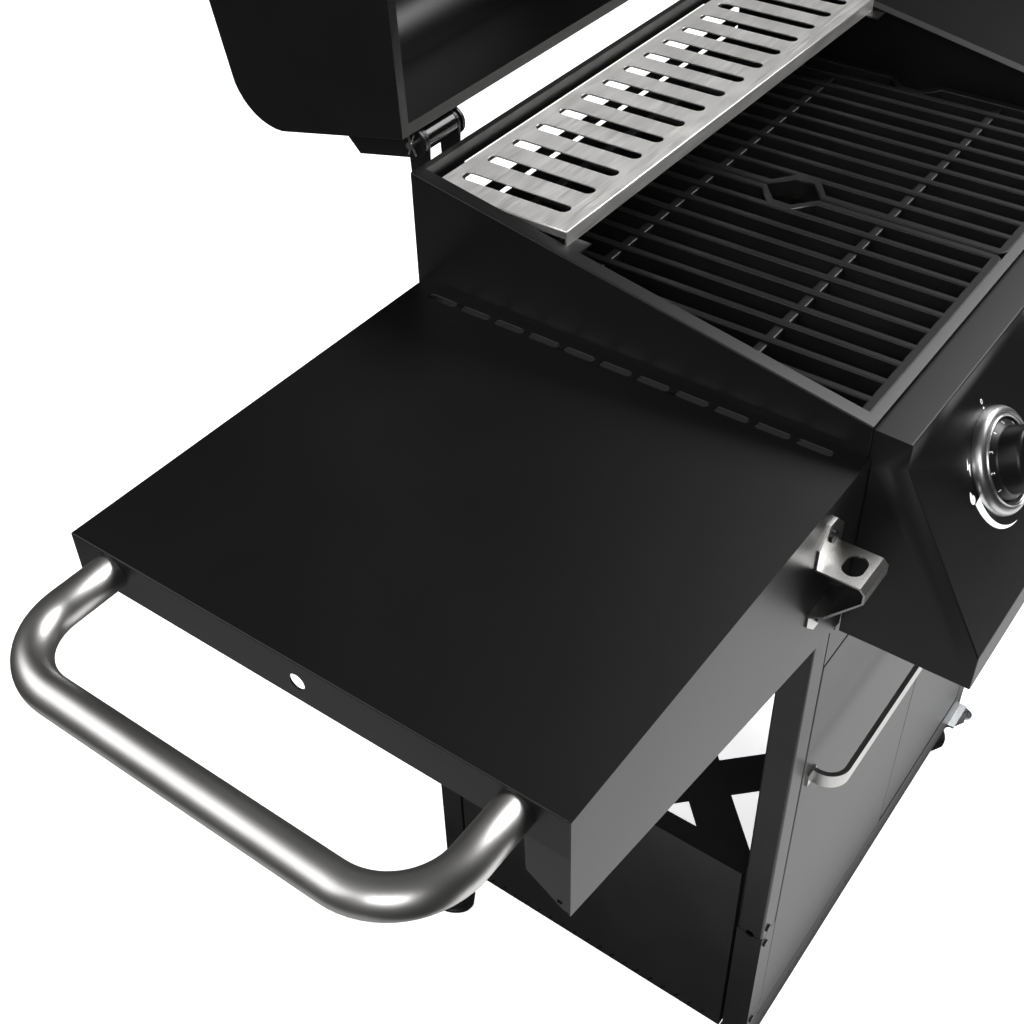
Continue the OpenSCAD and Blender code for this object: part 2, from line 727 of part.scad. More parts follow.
// A folded door pan between x0 and x1, with a pin at its outer edge
module door(x0, x1, z0, axis_x) {
    lip = door_t;
    color("#4a4b4c") union() {
        difference() {
            block([x0, -cart_hy, z0], [x1, -cart_hy + lip, door_top_z]);
            block([x0 + thin, -cart_hy + thin, z0 + thin], [x1 - thin, -cart_hy + lip + 1, door_top_z - thin]);
        }
        translate([axis_x, door_axis_y, z0 - 6]) cylinder(r = door_pin_r, h = 12);
        translate([axis_x, door_axis_y, door_top_z - 6]) cylinder(r = door_pin_r, h = 12);
    }
}

module door_handle(x0, x1) {
    y = -cart_hy;
    reach = 27;
    bend = 20;
    t = 4.5;
    h = 15;
    color("#cbccce") translate([0, 0, door_handle_z - h / 2]) linear_extrude(h) difference() {
        union() {
            translate([x0, y - reach + bend]) square([t, reach - bend]);
            translate([x1 - t, y - reach + bend]) square([t, reach - bend]);
            translate([x0 + bend, y - reach]) square([x1 - x0 - 2 * bend, t]);
            // feet, screwed on from inside the door
            translate([x0 - 7, y - 2]) square([14, 2]);
            translate([x1 - 7, y - 2]) square([14, 2]);
            for (x = [x0 + bend, x1 - bend]) translate([x, y - reach + bend]) difference() {
                circle(bend);
                circle(bend - t);
                translate([-bend - 1, 0]) square(2 * bend + 2);
                translate([x < (x0 + x1) / 2 ? 0 : -bend - 1, -bend - 1]) square([bend + 1, bend + 2]);
            }
        }
    }
}

module screws() {
    color("#3a3b3c") union() {
        // leg joints and lower screws on the front
        for (sx = [-1, 1], z = [leg_joint_z + 12, leg_joint_z - 14, 146])
            translate([sx * (leg_x + 5), -cart_hy, z]) rotate([90, 0, 0]) cylinder(r = 3.8, h = 2);
        // bottle opener
        for (z = [846, 772])
            translate([-315.5, shelf_y0 - 1.5, z]) rotate([90, 0, 0]) cylinder(r = 4.6, h = 2);
        // leg joints on the back
        for (sx = [-1, 1], z = [leg_joint_z + 12, leg_joint_z - 14])
            translate([sx * leg_x, cart_hy, z]) rotate([-90, 0, 0]) cylinder(r = 3.8, h = 2);
    }
}

leg(-1, -1);  // leg_front_left
leg(1, -1);  // leg_front_right
leg(-1, 1);  // leg_rear_left
leg(1, 1);  // leg_rear_right
foot(-1, -1);  // foot_front_left
foot(1, -1);  // foot_front_right
foot(-1, 1);  // foot_rear_left
foot(1, 1);  // foot_rear_right
front_top_rail();
rear_top_rail();
front_bottom_rail();
rear_bottom_rail();
side_panel();  // side_panel_left
mirror([1, 0, 0]) side_panel();  // side_panel_right
brace_strip(-45, cart_bottom_z + sheet);  // brace_strip_lower
brace_strip(45, cart_bottom_z + sheet + 2);  // brace_strip_upper
castor_plates();
castor_fork(-1, -1);  // castor_fork_front_left
castor_fork(1, -1);  // castor_fork_front_right
castor_fork(-1, 1);  // castor_fork_rear_left
castor_fork(1, 1);  // castor_fork_rear_right
castor_wheel(-1, -1);  // castor_wheel_front_left
castor_wheel(1, -1);  // castor_wheel_front_right
castor_wheel(-1, 1);  // castor_wheel_rear_left
castor_wheel(1, 1);  // castor_wheel_rear_right
brake_pedal(-1);  // brake_pedal_left
brake_pedal(1);  // brake_pedal_right
firebox();
hinge_brackets();
hinge_pins();
hinge_spacers();
lid();
lid_handle();
warming_rack();
mirror([1, 0, 0]) grate();  // grate_left
grate();  // grate_right
flame_tamers();
burners();
gas_manifold();
grease_tray();
control_panel();
knob_bezels();
valve_stem(-1);  // valve_stem_left
valve_stem(0);  // valve_stem_middle
valve_stem(1);  // valve_stem_right
knob(-1);  // knob_left
knob(0);  // knob_middle
knob(1);  // knob_right
shelf();  // shelf_left
mirror([1, 0, 0]) shelf();  // shelf_right
shelf_fascia();  // shelf_fascia_left
mirror([1, 0, 0]) shelf_fascia();  // shelf_fascia_right
push_handle();  // push_handle_left
mirror([1, 0, 0]) push_handle();  // push_handle_right
bottle_opener();
door(-leg_in_x + door_gap, door_seam_x - 0.5, 126.5 + 1, -door_axis_x);  // door_left
door(door_seam_x + 0.5, leg_in_x - door_gap, 126.5 + 5, door_axis_x);  // door_right
door_handle(-238, door_seam_x - 12);  // door_handle_left
door_handle(door_seam_x + 12, 238);  // door_handle_right
screws();
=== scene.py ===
# %% [markdown]
# # A gas barbecue grill
# The grill's shapes, sizes and joints come from a finished CAD model, which is loaded as a fixed frame. This
# lesson gives it light, a camera and real surfaces. Parts that need finer forms than the CAD model has, such as
# rolled sheet edges, a bent tube or printed marks, are modelled here and ride on the same bodies.

# %% Load the frame
import json
import math

import bmesh
import bpy
from mathutils import Matrix, Vector


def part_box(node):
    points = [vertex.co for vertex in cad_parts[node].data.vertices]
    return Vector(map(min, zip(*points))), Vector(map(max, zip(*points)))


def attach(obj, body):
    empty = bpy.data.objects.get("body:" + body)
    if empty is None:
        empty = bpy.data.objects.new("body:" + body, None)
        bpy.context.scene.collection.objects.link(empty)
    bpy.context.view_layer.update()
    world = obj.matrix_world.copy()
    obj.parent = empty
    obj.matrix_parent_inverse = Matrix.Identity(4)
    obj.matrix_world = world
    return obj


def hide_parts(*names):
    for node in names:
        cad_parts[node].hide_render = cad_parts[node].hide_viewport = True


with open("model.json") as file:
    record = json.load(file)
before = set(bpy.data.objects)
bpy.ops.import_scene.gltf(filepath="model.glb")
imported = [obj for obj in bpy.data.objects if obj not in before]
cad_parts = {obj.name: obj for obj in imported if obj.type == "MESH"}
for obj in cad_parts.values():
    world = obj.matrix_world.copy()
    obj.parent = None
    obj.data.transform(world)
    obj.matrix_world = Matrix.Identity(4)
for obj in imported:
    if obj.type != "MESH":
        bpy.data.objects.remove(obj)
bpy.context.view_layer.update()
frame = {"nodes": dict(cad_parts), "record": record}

nodes = frame["nodes"]

# %% [markdown]
# ## The camera
# The grill is seen from its front left corner and from above, close enough that the lid, the far side and the
# castors run out of the frame. A lens of about 49 mm keeps the slight convergence of the edges. The camera is
# built from three angles, turn, tilt and roll, because they are easier to read than a matrix.

# %% Camera
SENSOR_MM = 36.0
LENS_MM = 48.71
EYE = Vector((-0.9582, -0.4300, 1.4596))
TURN = math.radians(37.2046)
TILT = math.radians(41.9463)
ROLL = math.radians(-1.7447)


def make_camera():
    ahead = Vector((math.cos(TILT) * math.cos(TURN), math.cos(TILT) * math.sin(TURN), -math.sin(TILT)))
    level = Vector((math.sin(TURN), -math.cos(TURN), 0.0))
    above = level.cross(ahead)
    right = level * math.cos(ROLL) + above * math.sin(ROLL)
    up = above * math.cos(ROLL) - level * math.sin(ROLL)
    data = bpy.data.cameras.new("camera")
    data.sensor_width = SENSOR_MM
    data.lens = LENS_MM
    data.clip_start = 0.02
    camera = bpy.data.objects.new("camera", data)
    camera.matrix_world = Matrix.Translation(EYE) @ Matrix((right, up, -ahead)).transposed().to_4x4()
    bpy.context.scene.collection.objects.link(camera)
    bpy.context.scene.camera = camera
    return camera


camera = make_camera()
bpy.context.scene.view_settings.view_transform = "Standard"
print("camera at", tuple(round(v, 3) for v in camera.location))

# %% [markdown]
# ## Node helpers
# Each material is a small graph of shader nodes. One function adds a node, sets its values and makes its links,
# so a material reads as a list. Colours are written as the hex values that a paint chart gives, and are turned
# into the linear values that the shader adds up.

# %% Colour and node helpers
def linear(hex_colour):
    channels = [int(hex_colour[i:i + 2], 16) / 255 for i in (1, 3, 5)]
    return tuple(c / 12.92 if c <= 0.04045 else ((c + 0.055) / 1.055) ** 2.4 for c in channels) + (1.0,)


def add(tree, kind, inputs=None, **settings):
    node = tree.nodes.new("ShaderNode" + kind)
    for name, value in settings.items():
        setattr(node, name, value)
    for name, value in (inputs or {}).items():
        if isinstance(value, bpy.types.NodeSocket):
            tree.links.new(value, node.inputs[name])
        else:
            node.inputs[name].default_value = value
    return node


def new_material(name, metallic=0.0, ior=1.5):
    material = bpy.data.materials.new(name)
    material.use_nodes = True
    shader = material.node_tree.nodes["Principled BSDF"]
    shader.inputs["Metallic"].default_value = metallic
    shader.inputs["IOR"].default_value = ior
    return material, material.node_tree, shader


def ramp(tree, factor, stops):
    node = add(tree, "ValToRGB", {"Fac": factor})
    marks = node.color_ramp.elements
    while len(marks) < len(stops):
        marks.new(0.5)
    for mark, (place, colour) in zip(marks, stops):
        mark.position = place
        mark.color = linear(colour)
    return node.outputs["Color"]


def span(tree, factor, low, high, source=(0.25, 0.75)):
    node = add(tree, "MapRange", {"Value": factor, "From Min": source[0], "From Max": source[1],
                                  "To Min": low, "To Max": high})
    return node.outputs["Result"]


def noise(tree, place, size_mm, detail=2.0):
    node = add(tree, "TexNoise", {"Vector": place, "Scale": 1000.0 / size_mm, "Detail": detail})
    return node.outputs["Fac"]


def stretched(tree, place, along, across_mm, length_mm):
    size = [1.0 / across_mm] * 3
    size["XYZ".index(along)] = 1.0 / length_mm
    node = add(tree, "Mapping", {"Vector": place, "Scale": tuple(1000.0 * s for s in size)})
    streak = add(tree, "TexNoise", {"Vector": node.outputs["Vector"], "Scale": 1.0, "Detail": 3.0})
    return streak.outputs["Fac"]


def object_place(tree):
    return add(tree, "TexCoord").outputs["Object"]


def relief(tree, height, depth_mm, strength=1.0, under=None):
    inputs = {"Height": height, "Distance": depth_mm / 1000.0, "Strength": strength}
    if under is not None:
        inputs["Normal"] = under
    return add(tree, "Bump", inputs).outputs["Normal"]


# %% [markdown]
# ## Powder coat
# The lid, firebox, shelves and cart are sheet steel with black polyester powder coat: a dry powder is sprayed
# on and baked, so it flows into a satin skin with the fine ripple called orange peel. The ripple is about 2 mm
# across and only a few hundredths deep. It is wide enough to see, while the grit of the powder is too fine to
# see and only softens the gloss.

# %% Powder coat
def powder_coat(name, tone, rough):
    material, tree, shader = new_material(name)
    place = object_place(tree)
    cloud = noise(tree, place, 60.0)
    peel = noise(tree, place, 2.2)
    grit = noise(tree, place, 0.7, 3.0)
    tree.links.new(ramp(tree, cloud, [(0.3, tone[0]), (0.7, tone[1])]), shader.inputs["Base Color"])
    tree.links.new(span(tree, grit, rough - 0.04, rough + 0.05), shader.inputs["Roughness"])
    ripple = relief(tree, peel, 0.03)
    tree.links.new(relief(tree, grit, 0.006, under=ripple), shader.inputs["Normal"])
    return material


satin_black = powder_coat("powder_coat_satin_black_steel", ("#060607", "#09090a"), 0.40)
cart_black = powder_coat("powder_coat_satin_black_cart_steel", ("#0e0e0f", "#131314"), 0.36)
print("made", satin_black.name, cart_black.name)

# %% [markdown]
# ## Stainless steel
# Stainless steel shows how it was worked. The rack is brushed sheet, with straight scratches along its length.
# The tube of the push handle is ground with a belt, so its scratches run along the tube. The flame tamers are
# pressed from bright rolled sheet. All three share one recipe: a noise stretched along the scratches moves the
# roughness and a very shallow relief, which spreads highlights across the scratches as in real brushing.

# %% Stainless steel
def worked_steel(name, along, across_mm, length_mm, rough, depth_mm, tones, use_uv=False, brushed=0.0):
    material, tree, shader = new_material(name, metallic=1.0)
    if brushed:
        # scratches spread a highlight across themselves, so the tangent is turned by a quarter
        if use_uv:
            grain = add(tree, "Tangent", direction_type="UV_MAP", uv_map="along").outputs["Tangent"]
        else:
            grain = add(tree, "CombineXYZ", {along: 1.0}).outputs["Vector"]
        tree.links.new(grain, shader.inputs["Tangent"])
        shader.inputs["Anisotropic"].default_value = brushed
        shader.inputs["Anisotropic Rotation"].default_value = 0.25
    place = add(tree, "UVMap").outputs["UV"] if use_uv else object_place(tree)
    streak = stretched(tree, place, along, across_mm, length_mm)
    cloud = noise(tree, object_place(tree), 35.0)
    mixed = add(tree, "Math", {0: streak, 1: cloud, 2: 0.22}, operation="MULTIPLY_ADD")
    tint = ramp(tree, mixed.outputs["Value"], [(0.3, tones[0]), (0.7, tones[1])])
    tree.links.new(tint, shader.inputs["Base Color"])
    tree.links.new(span(tree, streak, *rough), shader.inputs["Roughness"])
    tree.links.new(relief(tree, streak, depth_mm), shader.inputs["Normal"])
    return material


rack_steel = worked_steel("brushed_stainless_sheet", "X", 0.55, 28.0, (0.34, 0.5), 0.035,
                          ("#c4c3c1", "#e6e5e3"), brushed=0.75)
door_bar_steel = worked_steel("satin_stainless_bar", "X", 0.5, 40.0, (0.24, 0.38), 0.02, ("#b4b4b2", "#d3d2d0"))
tube_steel = worked_steel("belt_ground_stainless_tube", "X", 0.6, 60.0, (0.28, 0.42), 0.02,
                          ("#cbcac8", "#ecebe9"), use_uv=True, brushed=0.5)
tamer_steel = worked_steel("rolled_stainless_tamer", "Y", 1.6, 60.0, (0.16, 0.28), 0.03, ("#c4c3c1", "#e0dfdd"))
opener_steel = worked_steel("pressed_stainless_strap", "Z", 0.6, 20.0, (0.26, 0.38), 0.015,
                            ("#c8c7c5", "#e2e1df"))
chrome = worked_steel("satin_chrome_on_zinc", "X", 0.8, 1.2, (0.3, 0.38), 0.004, ("#cfcfcf", "#dedede"))
zinc = worked_steel("zinc_plated_steel", "X", 3.0, 3.0, (0.3, 0.48), 0.02, ("#9fa2a5", "#c3c5c7"))
burner_steel = worked_steel("aluminised_steel_tube", "Y", 2.5, 8.0, (0.4, 0.55), 0.02, ("#8c8b88", "#adaca9"))
brass = worked_steel("turned_brass", "X", 0.6, 0.6, (0.25, 0.4), 0.01, ("#a8873f", "#c6a55c"))
print("made the metals")

# %% [markdown]
# ## Cast iron, plastics and print
# The grates are sand-cast iron under matt enamel. The sand leaves a grain of about 1 mm. Knobs and spacers are
# moulded nylon with a fine spark-eroded texture, and the castor wheels are plain polypropylene. The marks on
# the panel are screen-printed white ink, and the ink is given a faint glow, which is painted light.

# %% Cast iron, plastics and print
def grained(name, tones, rough, grain_mm, depth_mm, cloud_mm=40.0, ior=1.5):
    material, tree, shader = new_material(name, ior=ior)
    place = object_place(tree)
    grain = noise(tree, place, grain_mm, 4.0)
    cloud = noise(tree, place, cloud_mm)
    tree.links.new(ramp(tree, cloud, [(0.3, tones[0]), (0.7, tones[1])]), shader.inputs["Base Color"])
    tree.links.new(span(tree, grain, rough - 0.06, rough + 0.08), shader.inputs["Roughness"])
    tree.links.new(relief(tree, grain, depth_mm), shader.inputs["Normal"])
    return material


cast_iron = grained("matt_enamel_on_cast_iron", ("#0b0b0b", "#121212"), 0.42, 1.1, 0.08)
nylon = grained("moulded_nylon_black", ("#0b0b0b", "#101010"), 0.34, 0.8, 0.012)
wheel_plastic = grained("moulded_polypropylene_black", ("#0f0f0f", "#161616"), 0.42, 1.2, 0.02)
gloss_nylon = grained("gloss_nylon_black", ("#080808", "#0c0c0c"), 0.16, 1.5, 0.004)
white_ink_with_painted_glow = grained("screen_print_white_with_painted_glow", ("#e6e6e6", "#f4f4f4"), 0.5, 0.6, 0.004)
ink_glow_shader = white_ink_with_painted_glow.node_tree.nodes["Principled BSDF"]
# the ink glows faintly: painted light that makes the white print brighter than the lamps alone make it
ink_glow_shader.inputs["Emission Color"].default_value = (1.0, 1.0, 1.0, 1.0)
ink_glow_shader.inputs["Emission Strength"].default_value = 0.3
print("made cast iron, plastics and ink")

# %% [markdown]
# ## Dressing the CAD parts
# Most parts already have their final shape, so they only need a material in their slot. A dictionary from
# material to part names keeps this readable, and a check prints any part that was forgotten.

# %% Materials on the CAD parts
DRESS = {
    satin_black: "firebox lid control_panel shelf_left shelf_right hinge_brackets",
    cart_black: "leg_front_left leg_front_right leg_rear_left leg_rear_right foot_front_left foot_front_right "
                "foot_rear_left foot_rear_right front_top_rail rear_top_rail front_bottom_rail rear_bottom_rail "
                "side_panel_left side_panel_right brace_strip_lower brace_strip_upper door_left door_right "
                "shelf_fascia_left shelf_fascia_right castor_fork_front_left castor_fork_front_right "
                "castor_fork_rear_left castor_fork_rear_right screws",
    rack_steel: "warming_rack",
    door_bar_steel: "door_handle_left door_handle_right lid_handle",
    tube_steel: "push_handle_left push_handle_right",
    tamer_steel: "flame_tamers",
    opener_steel: "bottle_opener hinge_pins",
    chrome: "knob_bezels",
    zinc: "castor_plates brake_pedal_left brake_pedal_right grease_tray",
    burner_steel: "burners",
    brass: "gas_manifold valve_stem_left valve_stem_middle valve_stem_right",
    cast_iron: "grate_left grate_right",
    nylon: "knob_left knob_middle knob_right",
    gloss_nylon: "hinge_spacers",
    wheel_plastic: "castor_wheel_front_left castor_wheel_front_right castor_wheel_rear_left "
                   "castor_wheel_rear_right",
}
finish_of = {name: material for material, names in DRESS.items() for name in names.split()}


def dress(obj, material):
    obj.data.materials.clear()
    obj.data.materials.append(material)


for name, obj in nodes.items():
    dress(obj, finish_of[name])
print("dressed", len(finish_of), "parts; missing:", sorted(set(nodes) - set(finish_of)))

# %% [markdown]
# ## Modelling helpers
# An operator in Blender acts on whatever is selected, so each piece starts by clearing the selection. The
# helpers below open a piece for editing, pick its edges or faces by their place, and hand the finished piece to
# the body that it moves with. A finished piece keeps its object at the origin, as the CAD parts do.

# %% Modelling helpers
MM = 0.001
SIDES = ("left", "middle", "right")
body_of = {part: body for body, parts in frame["record"]["behaviour"]["bodies"].items() for part in parts}


def pick(obj):
    bpy.ops.object.select_all(action="DESELECT")
    obj.select_set(True)
    bpy.context.view_layer.objects.active = obj


def edit(obj, mode="EDGE"):
    pick(obj)
    bpy.ops.object.mode_set(mode="EDIT")
    bpy.ops.mesh.select_mode(type=mode)
    bpy.ops.mesh.select_all(action="SELECT")


def select_edges(obj, test):
    bpy.ops.mesh.select_all(action="DESELECT")
    mesh = bmesh.from_edit_mesh(obj.data)
    chosen = [edge for edge in mesh.edges if test(edge)]
    for edge in chosen:
        edge.select_set(True)
    bmesh.update_edit_mesh(obj.data)
    return len(chosen)


def bevel(radius_mm, steps):
    bpy.ops.mesh.bevel(offset=radius_mm * MM, segments=steps, affect="EDGES", clamp_overlap=False)


def settle(obj):
    """Writes the object's place into its mesh."""
    pick(obj)
    bpy.ops.object.transform_apply(location=True, rotation=True, scale=True)


def smooth(obj, angle=35.0, flat_faces=False):
    bpy.ops.object.mode_set(mode="OBJECT")
    pick(obj)
    bpy.ops.object.shade_smooth_by_angle(angle=math.radians(angle))
    if flat_faces:
        # large flat faces keep their own normal, and the narrow bend takes up all the turning
        weigh = obj.modifiers.new("weigh", "WEIGHTED_NORMAL")
        weigh.keep_sharp = True
        bpy.ops.object.modifier_apply(modifier="weigh")


def hand_over(obj, name, like, material, replaced=False):
    """Names a finished piece, dresses it and lets it ride where the CAD part `like` rides."""
    settle(obj)
    obj.name = obj.data.name = name
    dress(obj, material)
    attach(obj, body_of[like])
    if replaced:
        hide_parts(like)
    return obj


# %% [markdown]
# ## Rolled sheet edges
# A press brake folds sheet steel round a small radius, and that radius catches a thin line of light along every
# bend. CAD sheets have sharp bends, so a copy of each is merged, its flat areas are dissolved into single
# faces, and its long convex bends are picked and bevelled. Cut edges are left sharp, because a bevel there would
# eat the sheet's thickness.

# %% Rolled sheet edges
WELD = 0.01 * MM
FLAT = math.radians(0.5)
BENT = math.radians(25)
SQUARE = math.radians(60)
SLOT_X = 274.5 * MM
SLOT_REACH = 4.5 * MM
BENDS = {1.1: "shelf_left shelf_right shelf_fascia_left shelf_fascia_right control_panel firebox lid "
              "door_left door_right front_top_rail front_bottom_rail rear_top_rail rear_bottom_rail",
         2.2: "leg_front_left leg_front_right leg_rear_left leg_rear_right"}


def is_bend(edge, long_mm=25.0, wide_mm=2.6):
    if len(edge.link_faces) != 2 or not edge.is_convex or edge.calc_length() < long_mm * MM:
        return False
    widths = [2 * f.calc_area() / f.calc_perimeter() for f in edge.link_faces]
    return edge.calc_face_angle() > BENT and min(widths) > wide_mm * MM


def is_corner(edge):
    return len(edge.link_faces) == 2 and edge.is_convex and edge.calc_face_angle() > SQUARE


def copy_of(part, ending):
    piece = bpy.data.objects.new(part + ending, nodes[part].data.copy())
    bpy.context.scene.collection.objects.link(piece)
    edit(piece)
    bpy.ops.mesh.remove_doubles(threshold=WELD)
    bpy.ops.mesh.dissolve_limited(angle_limit=FLAT)
    return piece


def soften_slots(piece, part):
    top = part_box(part)[1].z - 0.1 * MM
    select_edges(piece, lambda e: all(v.co.z > top and abs(abs(v.co.x) - SLOT_X) < SLOT_REACH for v in e.verts))
    bevel(0.5, 2)


def rolled(part, radius_mm):
    piece = copy_of(part, "_rolled")
    count = select_edges(piece, is_bend)
    if count:
        bevel(radius_mm, 3)
    if part in ("shelf_left", "shelf_right"):
        soften_slots(piece, part)
    smooth(piece, flat_faces=True)
    hand_over(piece, part + "_rolled", part, finish_of[part], replaced=True)
    print("rolled", part, count, "bends")


for radius, parts in BENDS.items():
    for part in parts.split():
        rolled(part, radius)

# %% [markdown]
# ## Warming rack
# The rack is one sheet of brushed stainless steel. Its slots are punched, so their rims are slightly rounded on
# the top side, and its front is folded down round a wider radius that shines. Both radii are bevels on picked
# edges: first the long folds, then every rim in the plane of the top.

# %% Warming rack
def make_rack():
    piece = copy_of("warming_rack", "_punched")
    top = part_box("warming_rack")[1].z - 0.1 * MM
    folds = select_edges(piece, lambda e: is_bend(e, long_mm=90.0) and all(v.co.z > top for v in e.verts))
    bevel(1.1, 4)
    rims = select_edges(piece, lambda e: all(v.co.z > top for v in e.verts) and is_corner(e))
    bevel(0.35, 2)
    smooth(piece, flat_faces=True)
    hand_over(piece, "warming_rack_punched", "warming_rack", rack_steel, replaced=True)
    print("rack folds", folds, "rim edges", rims)


make_rack()

# %% [markdown]
# ## Cast grates
# Iron is poured into sand, and the mould's edges crumble a little, so no edge of a grate is sharp. The bars are
# rounded on top over more than a millimetre. All edges that border an upward face are bevelled with three steps.

# %% Cast grates
UPWARD = 0.9


def make_grate(part):
    piece = copy_of(part, "_cast")
    rims = select_edges(piece, lambda e: is_corner(e) and max(f.normal.z for f in e.link_faces) > UPWARD)
    bevel(1.5, 3)
    smooth(piece, 50.0, flat_faces=True)
    hand_over(piece, part + "_cast", part, cast_iron, replaced=True)
    print(part, "rounded", rims, "edges")


make_grate("grate_left")
make_grate("grate_right")

# %% [markdown]
# ## Push handle
# The handle is one stainless tube, bent cold round a former. It is drawn as a bender makes it: a ring is
# extruded along the first leg, spun round the bend, extruded along the grip, spun again and extruded back. The
# belt's scratches follow the tube, so each point gets a UV from its length along the tube and its turn round it.

# %% Push handle
BEND_R = 50 * MM
TUBE_R = 12.5 * MM
TUBE_WALL = 1.2 * MM
QUARTER = BEND_R * math.pi / 2
GRIP_STEPS = 6
BEND_STEPS = 16


def run_length(x, y, bend_x, bend_y, half):
    """Length along the centre line of the left tube, and the point's distance outside that line."""
    if x > bend_x and y > 0:
        return bend_x - x, y - half
    if x > bend_x:
        return 2 * QUARTER + 2 * bend_y + x - bend_x, -y - half
    if y > bend_y:
        turn = math.atan2(bend_x - x, y - bend_y)
        return turn * BEND_R, math.hypot(bend_x - x, y - bend_y) - BEND_R
    if y >= -bend_y:
        return QUARTER + bend_y - y, bend_x - x - BEND_R
    turn = math.atan2(-bend_y - y, bend_x - x)
    return QUARTER + 2 * bend_y + turn * BEND_R, math.hypot(bend_x - x, -bend_y - y) - BEND_R


def extrude(x, y):
    bpy.ops.mesh.extrude_edges_move(TRANSFORM_OT_translate={"value": (x, y, 0)})


def unroll(piece, middle, bend_x, bend_y, half):
    uv = piece.data.uv_layers.new(name="along")
    for loop in piece.data.loops:
        p = piece.data.vertices[loop.vertex_index].co
        along, off = run_length(-abs(p.x), p.y - middle.y, -abs(bend_x), bend_y, half)
        uv.data[loop.index].uv = (along, math.atan2(p.z - middle.z, off) * TUBE_R)


def make_tube(side):
    part = "push_handle_" + side
    low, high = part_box(part)
    middle = (low + high) / 2
    out, inner, far = (-1.0, high.x, low.x) if side == "left" else (1.0, low.x, high.x)
    half = (high.y - low.y) / 2 - TUBE_R
    bend_x = far - out * (TUBE_R + BEND_R)
    bend_y = half - BEND_R
    bpy.ops.object.select_all(action="DESELECT")
    bpy.ops.mesh.primitive_circle_add(vertices=40, radius=TUBE_R, location=(inner, middle.y + half, middle.z),
                                      rotation=(0, math.pi / 2, 0))
    piece = bpy.context.object
    edit(piece)
    extrude(bend_x - inner, 0)
    for way in (1, -1):
        centre = (bend_x, middle.y + way * bend_y, middle.z)
        bpy.ops.mesh.spin(steps=BEND_STEPS, angle=out * math.pi / 2, center=centre, axis=(0, 0, 1))
        if way == 1:
            for _ in range(GRIP_STEPS):
                extrude(0, -2 * bend_y / GRIP_STEPS)
    extrude(inner - bend_x, 0)
    bpy.ops.mesh.select_all(action="SELECT")
    bpy.ops.mesh.remove_doubles(threshold=2 * WELD)
    bpy.ops.mesh.normals_make_consistent(inside=False)
    smooth(piece, 60.0)
    settle(piece)
    unroll(piece, middle, bend_x, bend_y, half)
    wall = piece.modifiers.new("wall", "SOLIDIFY")
    wall.thickness = TUBE_WALL
    wall.offset = -1.0
    bpy.ops.object.modifier_apply(modifier="wall")
    hand_over(piece, part + "_bent", part, tube_steel, replaced=True)
    print("bent", part)


make_tube("left")
make_tube("right")

# %% [markdown]
# ## Knobs and bezels
# Both are turned shapes, so each is drawn as half a cross-section and spun round its own axis. The bezel is a
# broad convex ring with a groove and a thin inner bead, and the knob has a sloping skirt for its scale and a
# wall that rolls over into the cap. Each knob gets the upright grip bar that the fingers hold.

# %% Knobs and bezels
joints = {row["name"]: row for row in frame["record"]["behaviour"]["joints"]}
R_BEZEL = 39.5
GRIP_MM = (9.0, 46.0, 6.6)
GRIP_MIDDLE = 30.6
KNOB_WALL = [(24.6, 11.3), (24.4, 12.2), (24.0, 24.4), (23.7, 25.6), (22.9, 26.8), (21.8, 27.6), (20.6, 27.9)]


def face_frame(side):
    """The knob's place: X along the panel, Y up the sloping face, Z out of it."""
    row = joints[side + "_valve_turn"]
    out = Vector(row["axis"]).normalized()
    if out.y > 0:
        out = -out
    along = Vector((1.0, 0.0, 0.0))
    return Matrix.Translation(row["pos_m"]) @ Matrix((along, out.cross(along), out)).transposed().to_4x4()


def lathe(profile_mm, place, steps=96):
    bpy.ops.object.select_all(action="DESELECT")
    bpy.ops.mesh.primitive_plane_add(size=MM, location=(0, 0, 0))
    piece = bpy.context.object
    edit(piece, "VERT")
    bpy.ops.mesh.merge(type="CENTER")
    radius, height = profile_mm[0]
    bpy.ops.transform.translate(value=(radius * MM, 0, height * MM))
    for a, b in zip(profile_mm, profile_mm[1:]):
        step = ((b[0] - a[0]) * MM, 0, (b[1] - a[1]) * MM)
        bpy.ops.mesh.extrude_vertices_move(TRANSFORM_OT_translate={"value": step})
    bpy.ops.mesh.select_all(action="SELECT")
    bpy.ops.mesh.spin(steps=steps, angle=2 * math.pi, center=(0, 0, 0), axis=(0, 0, 1))
    bpy.ops.mesh.select_all(action="SELECT")
    bpy.ops.mesh.remove_doubles(threshold=WELD)
    bpy.ops.mesh.normals_make_consistent(inside=False)
    smooth(piece, 40.0)
    piece.matrix_world = place
    settle(piece)
    return piece


def joined(pieces):
    bpy.ops.object.select_all(action="DESELECT")
    for piece in pieces:
        piece.select_set(True)
    bpy.context.view_layer.objects.active = pieces[0]
    bpy.ops.object.join()
    return pieces[0]


def make_bezel(side):
    ring = [(30.6, 0.2), (R_BEZEL, 0.2), (R_BEZEL, 2.2), (R_BEZEL - 0.3, 4.4), (R_BEZEL - 1.3, 6.6),
            (R_BEZEL - 3.0, 8.1), (R_BEZEL - 4.8, 8.6), (34.6, 8.3), (33.9, 7.6), (33.2, 7.7), (32.9, 8.8),
            (32.2, 9.4), (31.4, 9.2), (30.8, 8.4), (30.6, 7.0), (30.6, 0.2)]
    return lathe(ring, face_frame(side))


